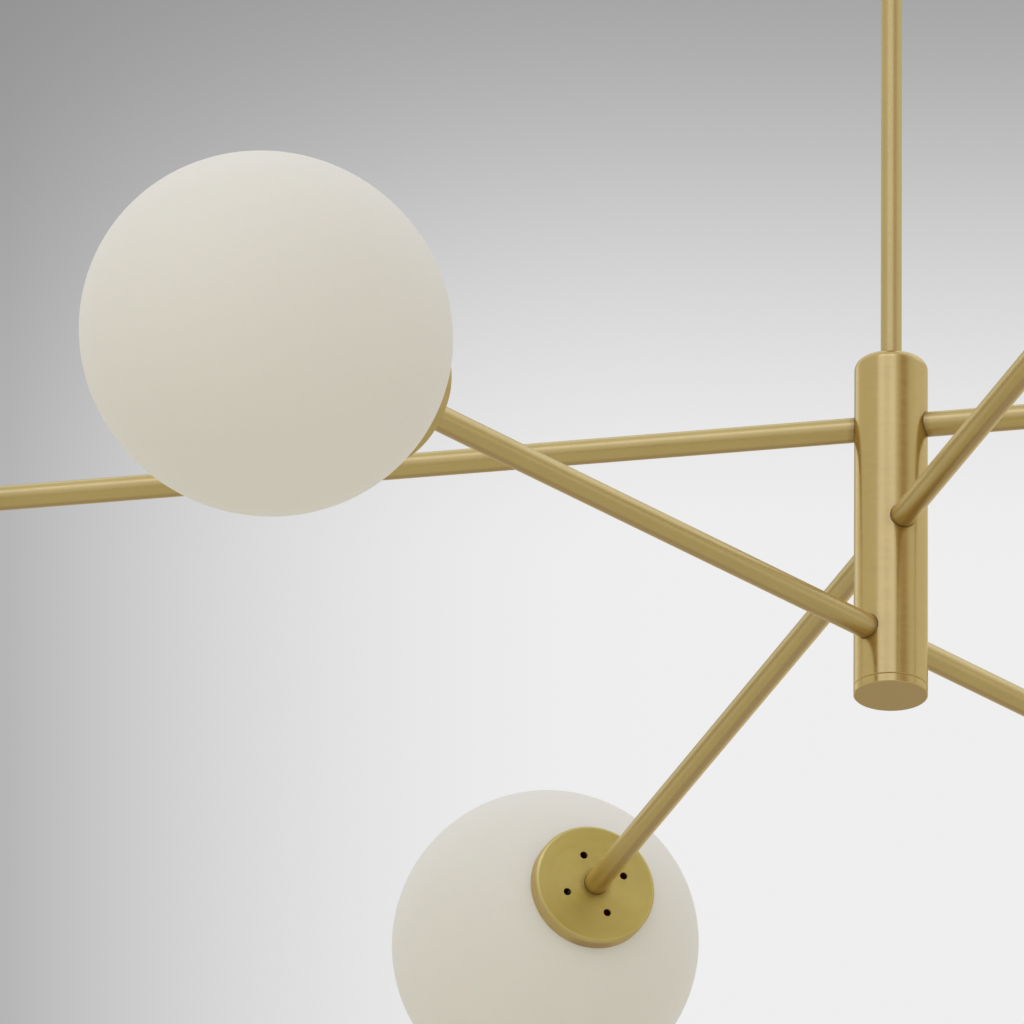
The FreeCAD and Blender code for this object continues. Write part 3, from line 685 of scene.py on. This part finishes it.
def opal_material(settings):
    """Matt etched opal glass: pale, warm, with a soft edge and no hard reflection."""
    made, graph, shader = new_material("opal glass")
    place = graph.place()
    grain = fine_grain(graph, place, size=0.0004)
    speck = graph.plus(graph.times(grain, SPECK_SWING), SPECK_LEVEL)
    tone = satin_tone(graph, place, patch_size=0.06, contrast=0.035)
    graph.fill(shader, {
        "Base Color": graph.scaled(graph.scaled(settings.colour, tone), speck),
        "Roughness": settings.roughness,
        "Normal": graph.bump(grain, GRAIN_DEPTH, strength=0.6), "IOR": 1.45,
        "Subsurface Weight": settings.glow, "Subsurface Scale": 0.004,
        "Sheen Weight": 0.12, "Sheen Roughness": 0.5})
    return made


def steel_material(settings):
    """Zinc-plated steel with a faint spangle."""
    made, graph, shader = new_material("zinc steel")
    place = graph.place()
    cells = graph.add("TexVoronoi", {"Vector": place, "Scale": 260.0}).outputs["Color"]
    spangle = graph.ramp(graph.dot(cells, CELL_MEAN), *CELL_RANGE, *SPANGLE_TONE)
    tone = satin_tone(graph, place, patch_size=0.012, contrast=0.25)
    grain = fine_grain(graph, place, size=0.0003)
    graph.fill(shader, {
        "Base Color": graph.scaled(graph.scaled(settings.steel, tone), spangle),
        "Roughness": graph.times(spangle, STEEL_ROUGHNESS),
        "Normal": graph.bump(grain, GRAIN_DEPTH, strength=0.5), "Metallic": 1.0})
    return made


def pale_material(name, colour, roughness, grain_size, grain_depth, coat=0.0):
    """Ceramic, moulded plastic or frosted lamp glass."""
    made, graph, shader = new_material(name)
    place = graph.place()
    grain = fine_grain(graph, place, grain_size)
    body = graph.scaled(colour, satin_tone(graph, place, patch_size=0.01, contrast=0.06))
    graph.fill(shader, {
        "Base Color": graph.mix(resting_dust(graph, place, amount=0.12), body,
                                rgba(PALE_DUST)),
        "Roughness": graph.ramp(grain, *NOISE_RANGE,
                                roughness - PALE_SWING, roughness + PALE_SWING),
        "Normal": graph.bump(grain, grain_depth), "Coat Weight": coat})
    return made


def finish(nodes, material):
    """Give CAD nodes their finish, in every slot that they have."""
    for node in nodes:
        slots = NODES[node].material_slots
        if not slots:
            raise RuntimeError(node + " has no material slot")
        for slot in slots:
            slot.material = material


# ---------------------------- modelling

# A face looks along the screw's axis where its normal passes this.
END_FACE = 0.9
# Width of the dish's floor to its opening, and of the tip's end to the shank.
DISH_FLOOR = 0.8
TIP_END = 0.75
# Corners this far out, as a share of the head's radius, are on its wall.
WALL_SHARE = 0.99
BEVEL_ANGLE = 25.0
SMOOTH_ANGLE = 20.0
# How far a finished screw's first corner may be from the canopy's side.
SCREW_REACH = 0.01


def select_faces(piece, test):
    """Go to edit mode with only those faces selected that pass the test."""
    bpy.ops.object.mode_set(mode="EDIT")
    bpy.ops.mesh.select_mode(type="FACE")
    bpy.ops.mesh.select_all(action="DESELECT")
    bpy.ops.object.mode_set(mode="OBJECT")
    for face in piece.data.polygons:
        face.select = test(face)
    bpy.ops.object.mode_set(mode="EDIT")


def narrow(size, level, axis_height):
    """Scale what is selected about the screw's axis."""
    bpy.ops.transform.resize(value=(1.0, size, size), center_override=(level, 0.0, axis_height))


def extrude_to(level, shift, size, axis_height):
    """Extrude the selected end face along X, then scale it about the screw's axis."""
    bpy.ops.mesh.extrude_region_move(TRANSFORM_OT_translate={"value": (shift, 0.0, 0.0)})
    narrow(size, level + shift, axis_height)
    return level + shift


def knurled_screw(name, sizes):
    """A thumb screw along X: a knurled head with a dished face, and a shank with a small tip."""
    base = half_width("canopy")
    end = half_width("canopy_screws")
    axis_height = middle_of("canopy_screws").z
    head_radius = half_width("canopy_screws", 2)
    shank_end = min(abs(corner.co.x) for corner in NODES["canopy_screws"].data.vertices)
    edge = sizes.head_edge
    bpy.ops.object.select_all(action="DESELECT")
    bpy.ops.mesh.primitive_cylinder_add(
        vertices=2 * sizes.ridges, radius=head_radius, depth=end - base - 2 * edge,
        location=((base + end) / 2, 0.0, axis_height), rotation=(0.0, math.pi / 2, 0.0))
    screw = bpy.context.object
    screw.name = name
    bpy.ops.object.transform_apply(location=True, rotation=True, scale=True)
    # The outer face: a sloping edge, a flat rim and a shallow dish.
    slope = (head_radius - edge) / head_radius
    select_faces(screw, lambda face: face.normal.x > END_FACE)
    extrude_to(end - edge, edge, slope, axis_height)
    bpy.ops.mesh.inset(thickness=sizes.rim_width)
    extrude_to(end, -sizes.dish_depth, DISH_FLOOR, axis_height)
    # The inner face: the same edge, then the shank with its tip.
    select_faces(screw, lambda face: face.normal.x < -END_FACE)
    extrude_to(base + edge, -edge, slope, axis_height)
    bpy.ops.mesh.inset(thickness=head_radius - edge - sizes.shank_radius)
    level = extrude_to(base, shank_end + sizes.tip_length - base, 1.0, axis_height)
    extrude_to(level, -sizes.tip_length, TIP_END, axis_height)
    # Every second column of the head's wall moves in, which leaves the ridges.
    bpy.ops.mesh.select_mode(type="VERT")
    bpy.ops.mesh.select_all(action="DESELECT")
    bpy.ops.object.mode_set(mode="OBJECT")
    step = math.pi / sizes.ridges
    for corner in screw.data.vertices:
        out = math.hypot(corner.co.y, corner.co.z - axis_height)
        turn = math.atan2(corner.co.y, corner.co.z - axis_height)
        corner.select = out > WALL_SHARE * head_radius and round(turn / step) % 2 == 1
    bpy.ops.object.mode_set(mode="EDIT")
    narrow((head_radius - sizes.ridge_depth) / head_radius, base, axis_height)
    bpy.ops.mesh.select_all(action="SELECT")
    bpy.ops.mesh.normals_make_consistent(inside=False)
    bpy.ops.object.mode_set(mode="OBJECT")
    soften = screw.modifiers.new("soft edges", "BEVEL")
    soften.width = sizes.edge_round
    soften.segments = 2
    soften.angle_limit = math.radians(BEVEL_ANGLE)
    bpy.ops.object.modifier_apply(modifier=soften.name)
    bpy.ops.object.shade_smooth_by_angle(angle=math.radians(SMOOTH_ANGLE))
    return screw


# ---------------------------- operators


class CHANDELIER_OT_brass(bpy.types.Operator):
    """Give the stem, the hub, the arms, the caps, the swivel and the canopy their satin brass"""
    bl_idname = "chandelier.brass"
    bl_label = "Brass finish"

    def execute(self, context):
        settings = context.scene.chandelier_brass
        # Round its arm holes the hub gets only a faint haze of painted shade.
        body = brass_material("hub brass", settings, upright=True,
                              joints=[arm_hole(tier) for tier in ARM_TURN], shade_haze_share=0.12)
        finish(["hub", "hub_cap"], body)
        stem = brass_material("stem brass", settings, upright=True,
                              joints=[level_line(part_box("hub")[1].z)],
                              colour=settings.rod_colour, roughness=settings.stem_roughness)
        finish(["stem"], stem)
        canopy = brass_material("canopy brass", settings, upright=True)
        finish(["canopy", "swivel_housing", "swivel_fork", "stem_knuckle"], canopy)
        for tier, turn in ARM_TURN.items():
            level = ARM_LEVEL[tier]
            arm = brass_material("arm brass " + tier, settings, turn, level,
                                 colour=settings.rod_colour, roughness=settings.arm_roughness,
                                 joints=[upright_wall_at(HUB_RADIUS),
                                         arm_ends_at(arm_half_length(tier))])
            finish(["arm_" + tier], arm)
            cap = brass_material("cap brass " + tier, settings, turn, level,
                                 joints=[arm_meets(ARM_RADIUS)],
                                 colour=settings.rod_colour, face_colour=settings.cap_colour,
                                 roughness=settings.disc_roughness)
            finish([f"end_cap_{tier}_{end}" for end in ARM_ENDS[tier]], cap)
        small = brass_material("small brass", settings, upright=True)
        finish(["swivel_pin", "swivel_nut", "swivel_bolt", "stop_pin", "arm_grub_screws",
                "canopy_screws", "terminal_screws"], small)
        threaded = brass_material("threaded brass", settings, upright=True, thread=True)
        finish(["canopy_nipple"], threaded)
        return {"FINISHED"}


class CHANDELIER_OT_globes(bpy.types.Operator):
    """Give the six globes their matt opal glass"""
    bl_idname = "chandelier.globes"
    bl_label = "Opal globes"

    def execute(self, context):
        opal = opal_material(context.scene.chandelier_glass)
        finish([f"globe_{tier}_{end}" for tier in ARM_TURN for end in ARM_ENDS[tier]], opal)
        return {"FINISHED"}


class CHANDELIER_OT_fittings(bpy.types.Operator):
    """Give the bracket, nuts, straps, lamp holders, lamps and terminal block their finish"""
    bl_idname = "chandelier.fittings"
    bl_label = "Fittings"

    def execute(self, context):
        settings = context.scene.chandelier_fittings
        finish(["ceiling_bracket", "canopy_washer", "canopy_nut", "earth_screw", "stem_washer",
                "stem_nut", "end_nipples", "end_nuts", "holder_straps"],
               steel_material(settings))
        ends = [f"{tier}_{end}" for tier in ARM_TURN for end in ARM_ENDS[tier]]
        ceramic = pale_material("glazed ceramic", settings.ceramic, roughness=0.3,
                                grain_size=0.0012, grain_depth=0.00003, coat=0.5)
        finish(["lamp_holder_" + end for end in ends], ceramic)
        frosted = pale_material("frosted lamp", settings.lamp, roughness=0.5,
                                grain_size=0.0003, grain_depth=0.00001)
        finish(["lamp_" + end for end in ends], frosted)
        plastic = pale_material("moulded plastic", settings.plastic, roughness=0.42,
                                grain_size=0.0006, grain_depth=0.00003)
        finish(["terminal_block"], plastic)
        return {"FINISHED"}


class CHANDELIER_OT_screws(bpy.types.Operator):
    """Model the two knurled thumb screws at the sides of the canopy, in place of the plain ones"""
    bl_idname = "chandelier.screws"
    bl_label = "Canopy screws"

    def execute(self, context):
        scene = context.scene
        first = knurled_screw("canopy_screw_right", scene.chandelier_screws)
        first.data.materials.append(brass_material("screw brass", scene.chandelier_brass,
                                                   level=middle_of("canopy_screws").z))
        bpy.ops.object.duplicate()
        second = context.object
        second.name = "canopy_screw_left"
        second.rotation_euler.z = math.pi
        bpy.ops.object.transform_apply(location=True, rotation=True, scale=True)
        for screw in (first, second):
            if abs(abs(screw.data.vertices[0].co.x) - half_width("canopy")) > SCREW_REACH:
                raise RuntimeError(screw.name + " isn't at the canopy's side")
            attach(screw, "ceiling_parts")
            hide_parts("canopy_screws")
        return {"FINISHED"}


class CHANDELIER_OT_studio(bpy.types.Operator):
    """Set up the floor, the sky, the softboxes and the camera"""
    bl_idname = "chandelier.studio"
    bl_label = "Studio"

    def execute(self, context):
        scene = context.scene
        studio = scene.chandelier_studio
        add_floor(studio)
        add_sky(scene, studio)
        add_softbox("key softbox", studio_direction(azimuth=-26.0, elevation=24.0),
                    distance=3.4, width=3.2, height=2.3, brightness=studio.key_light)
        add_softbox("top softbox", studio_direction(azimuth=0.0, elevation=88.0),
                    distance=2.2, width=3.6, height=3.6, brightness=studio.top_light)
        add_camera(scene, scene.chandelier_camera)
        scene.view_settings.view_transform = "Standard"
        return {"FINISHED"}


# ---------------------------- studio

FLOOR_SIZE = 140.0
FLOOR_TONE = (0.985, 1.0)
# The floor fades into the backdrop between these distances from its middle.
FLOOR_FADE = (6.0, 22.0)

# The camera's backdrop, by how far a direction goes ahead, up and to the right of its view:
# where it is the backdrop at all, and where it falls off to grey.
BACKDROP_AHEAD = (0.80, 0.97)
BACKDROP_UP = (-0.007, 0.072)
BACKDROP_LEFT = {"From Min": 0.018, "From Max": -0.055}

# The room, as the metal shows it. Turns are degrees to the camera's right, and rises go from
# 0, level, to 1, straight up. Four numbers are a band's start, full part and end.
BOARD_RISES = (0.08, 0.20, 0.66, 0.80)
BOX_TURNS = (-45, -38, 10, 19)
BOX_GAP_TURNS = (-25, -18, -8, -1)
BOX_GAP_SHADE = 0.35
BOX_GLOW_RISES = (0.42, 0.60)
BOX_GLOW = 1.8
FLAG_TURNS = (19, 36, 43, 66)
CEILING_RISES = (0.2, 0.9)
RIGHT_LIGHT_TURNS, RIGHT_LIGHT_RISES = (72, 98), (0.38, 0.64)
LEFT_LIGHT_TURNS, LEFT_LIGHT_RISES = (-118, -135), (0.22, 0.44)
# The far wall: how far its middle is to the camera's left and away from the camera, how near
# to it a direction has to be, and the rises at which it ends.
FAR_WALL_LEFT, FAR_WALL_AWAY = 0.85, 0.53
FAR_WALL_NEAR = (0.70, 0.90)
FAR_WALL_RISES = (0.10, 0.34)
# The rises over which the plain light goes from its low to its high colour.
LIGHT_RISES = (0.0, 0.9)


def add_floor(studio):
    """A wide pale floor. It can't be seen from below, and far out it fades into the backdrop."""
    bpy.ops.object.select_all(action="DESELECT")
    bpy.ops.mesh.primitive_plane_add(size=FLOOR_SIZE, location=(0.0, 0.0, studio.floor_level))
    floor = bpy.context.object
    floor.name = "studio_floor"
    made, graph, shader = new_material("floor")
    place = graph.place()
    tone = graph.ramp(graph.noise(place, scale=3.0, detail=3.0), *NOISE_RANGE, *FLOOR_TONE)
    path = graph.add("LightPath").outputs
    paint = graph.mix(path["Is Glossy Ray"], rgba(studio.floor_colour),
                      rgba(studio.floor_mirrored))
    graph.fill(shader, {"Base Color": graph.scaled(paint, tone), "Roughness": 0.9,
                        "Specular IOR Level": 0.1})
    seen = graph.math("MAXIMUM", path["Is Camera Ray"], path["Is Glossy Ray"])
    far = graph.times(graph.ramp(graph.length(place), *FLOOR_FADE), seen)
    glow = graph.add("Emission", {"Color": rgba(studio.backdrop)}).outputs[0]
    faded = graph.mix_shaders(far, shader.outputs["BSDF"], glow)
    below = graph.times(graph.add("NewGeometry").outputs["Backfacing"], path["Is Camera Ray"])
    clear = graph.add("BsdfTransparent").outputs[0]
    output = next(n for n in graph.tree.nodes if n.bl_idname == "ShaderNodeOutputMaterial")
    graph.fill(output, {"Surface": graph.mix_shaders(below, faded, clear)})
    floor.data.materials.append(made)


def camera_axes(camera):
    """Right, up and forward of the camera, from its heading, pitch and roll."""
    heading = math.radians(camera.heading)
    pitch = math.radians(camera.pitch)
    roll = math.radians(camera.roll)
    forward = Vector((math.sin(heading) * math.cos(pitch), math.cos(heading) * math.cos(pitch),
                      math.sin(pitch)))
    right = Vector((math.cos(heading), -math.sin(heading), 0.0))
    up = right.cross(forward)
    right_rolled = right * math.cos(roll) + up * math.sin(roll)
    up_rolled = up * math.cos(roll) - right * math.sin(roll)
    return right_rolled, up_rolled, forward


def camera_side():
    """Level directions from the hub: towards the camera, and to the camera's right."""
    place = bpy.context.scene.chandelier_camera.place
    back = Vector((place[0], place[1], 0.0)).normalized()
    return back, Vector((-back.y, back.x, 0.0))


def studio_direction(azimuth, elevation):
    """From the hub, at an angle to the camera's right and an angle above level."""
    back, right = camera_side()
    turn = math.radians(azimuth)
    rise = math.radians(elevation)
    level = back * math.cos(turn) + right * math.sin(turn)
    return level * math.cos(rise) + Vector((0.0, 0.0, math.sin(rise)))


def backdrop_colour(graph, direction, studio):
    """A backdrop that is pale low down and falls off to grey at the top and the left. Returns
    its colour, and a mask of where the camera looks."""
    right, up, forward = camera_axes(bpy.context.scene.chandelier_camera)
    ahead = graph.ramp(graph.dot(direction, forward), *BACKDROP_AHEAD)
    high = graph.times(graph.ramp(graph.dot(direction, up), *BACKDROP_UP), ahead)
    side = graph.dot(direction, right)
    out = graph.add("MapRange", {"Value": side, **BACKDROP_LEFT}).outputs["Result"]
    left = graph.times(graph.times(out, out), ahead)
    low = graph.mix(left, rgba(studio.backdrop), rgba(studio.backdrop_left))
    top = graph.mix(left, rgba(studio.backdrop_high), rgba(studio.backdrop_corner))
    return graph.mix(high, low, top), ahead


def room_colour(graph, direction, studio):
    """The room round the object: pale walls and ceiling, two tall softboxes with a dark flag
    beside them, and high softboxes at the sides."""
    back, right = camera_side()
    azimuth = graph.math("ARCTAN2", graph.dot(direction, right), graph.dot(direction, back))
    rise = graph.parts(direction)["Z"]

    def across(shape, turns):
        """A band or a ramp between turns to the camera's right."""
        return shape(azimuth, *[math.radians(turn) for turn in turns])

    upright = graph.band(rise, *BOARD_RISES)
    between = graph.times(across(graph.band, BOX_GAP_TURNS), BOX_GAP_SHADE)
    boxes = graph.times(across(graph.band, BOX_TURNS), graph.minus(1.0, between))
    room = graph.mix(graph.ramp(rise, *CEILING_RISES), rgba(studio.walls), rgba(studio.ceiling))
    flag = graph.times(across(graph.band, FLAG_TURNS), upright)
    room = graph.mix(flag, room, rgba(studio.flag))
    right_light = graph.times(across(graph.ramp, RIGHT_LIGHT_TURNS),
                              graph.ramp(rise, *RIGHT_LIGHT_RISES))
    left_light = graph.times(across(graph.ramp, LEFT_LIGHT_TURNS),
                             graph.ramp(rise, *LEFT_LIGHT_RISES))
    room = graph.mix(graph.plus(right_light, left_light, clamp=True), room,
                     rgba(studio.far_light))
    lit = graph.scaled(studio.softbox, graph.ramp(rise, *BOX_GLOW_RISES, 1.0, BOX_GLOW))
    return graph.mix(graph.times(boxes, upright), room, lit)


def far_wall_mask(graph, direction):
    """1 low down on the far left, where the arms that point at the camera look."""
    back, right = camera_side()
    middle = (right * -FAR_WALL_LEFT - back * FAR_WALL_AWAY).normalized()
    near = graph.ramp(graph.dot(direction, middle), *FAR_WALL_NEAR)
    low = graph.ramp(graph.parts(direction)["Z"], *FAR_WALL_RISES, 1.0, 0.0)
    return graph.times(near, low)


def add_sky(scene, studio):
    """Plain light from all round. The metal shows the studio, and the camera its backdrop."""
    world = bpy.data.worlds.new("studio sky")
    scene.world = world
    world.use_nodes = True
    world.node_tree.nodes.clear()
    graph = Graph(world.node_tree)
    direction = graph.add("TexCoord").outputs["Generated"]
    backdrop, ahead = backdrop_colour(graph, direction, studio)
    path = graph.add("LightPath").outputs
    mirrored = graph.mix(ahead, room_colour(graph, direction, studio), backdrop)
    mirrored = graph.mix(far_wall_mask(graph, direction), mirrored, rgba(studio.far_wall))
    shown_colour = graph.mix(path["Is Camera Ray"], mirrored, backdrop)
    rising = graph.ramp(graph.parts(direction)["Z"], *LIGHT_RISES)
    plain = graph.mix(rising, rgba(studio.room_low), rgba(studio.room_high))
    seen = graph.math("MAXIMUM", path["Is Camera Ray"],
                      graph.math("MAXIMUM", path["Is Glossy Ray"], path["Is Transmission Ray"]))
    shown = graph.add("Background", {"Color": shown_colour, "Strength": 1.0}).outputs[0]
    felt = graph.add("Background", {"Color": plain, "Strength": studio.room_light}).outputs[0]
    graph.add("OutputWorld", {"Surface": graph.mix_shaders(seen, felt, shown)})


def add_softbox(name, direction, distance, width, height, brightness):
    """A rectangular softbox that faces the hub. The metal shows the room's own softboxes."""
    light = bpy.data.lights.new(name, "AREA")
    light.shape = "RECTANGLE"
    light.size, light.size_y = width, height
    light.energy = brightness * math.pi * width * height
    lamp = bpy.data.objects.new(name, light)
    bpy.context.scene.collection.objects.link(lamp)
    lamp.location = middle_of("hub") + direction * distance
    lamp.rotation_euler = direction.to_track_quat("Z", "Y").to_euler()
    lamp.visible_camera = False
    lamp.visible_glossy = False


def add_camera(scene, camera):
    """A camera at the photograph's place and angle, with its long lens."""
    data = bpy.data.cameras.new("camera")
    data.sensor_width = 36.0
    data.lens = camera.lens
    data.clip_end = 200.0
    item = bpy.data.objects.new("camera", data)
    scene.collection.objects.link(item)
    right, up, forward = camera_axes(camera)
    turn = Matrix((right, up, -forward)).transposed().to_4x4()
    item.matrix_world = Matrix.Translation(Vector(camera.place)) @ turn
    scene.camera = item


# ---------------------------- panel


class CHANDELIER_PT_panel(bpy.types.Panel):
    """Finishes and studio of the branch chandelier"""
    bl_label = "Branch Chandelier"
    bl_idname = "CHANDELIER_PT_panel"
    bl_space_type = "VIEW_3D"
    bl_region_type = "UI"
    bl_category = "Chandelier"

    def draw(self, context):
        for operator, groups in SECTIONS:
            box = self.layout.box()
            box.operator(operator.bl_idname)
            for holder, group in groups.items():
                for name in group.__annotations__:
                    box.prop(getattr(context.scene, holder), name)


# Each operator, and the groups of settings that it reads first, by their names on the scene.
SECTIONS = [
    (CHANDELIER_OT_brass, {"chandelier_brass": BrassFinish}),
    (CHANDELIER_OT_globes, {"chandelier_glass": GlassFinish}),
    (CHANDELIER_OT_fittings, {"chandelier_fittings": FittingFinish}),
    (CHANDELIER_OT_screws, {"chandelier_screws": ScrewSizes}),
    (CHANDELIER_OT_studio, {"chandelier_studio": StudioSettings,
                            "chandelier_camera": CameraSettings}),
]


def register():
    for operator, groups in SECTIONS:
        bpy.utils.register_class(operator)
        for holder, group in groups.items():
            bpy.utils.register_class(group)
            setattr(bpy.types.Scene, holder, bpy.props.PointerProperty(type=group))
    bpy.utils.register_class(CHANDELIER_PT_panel)


def unregister():
    bpy.utils.unregister_class(CHANDELIER_PT_panel)
    for operator, groups in reversed(SECTIONS):
        for holder, group in groups.items():
            delattr(bpy.types.Scene, holder)
            bpy.utils.unregister_class(group)
        bpy.utils.unregister_class(operator)


def main():
    register()
    build_effects()
    bpy.ops.chandelier.brass()
    bpy.ops.chandelier.globes()
    bpy.ops.chandelier.fittings()
    bpy.ops.chandelier.screws()
    bpy.ops.chandelier.studio()


if __name__ == "__main__":
    main()
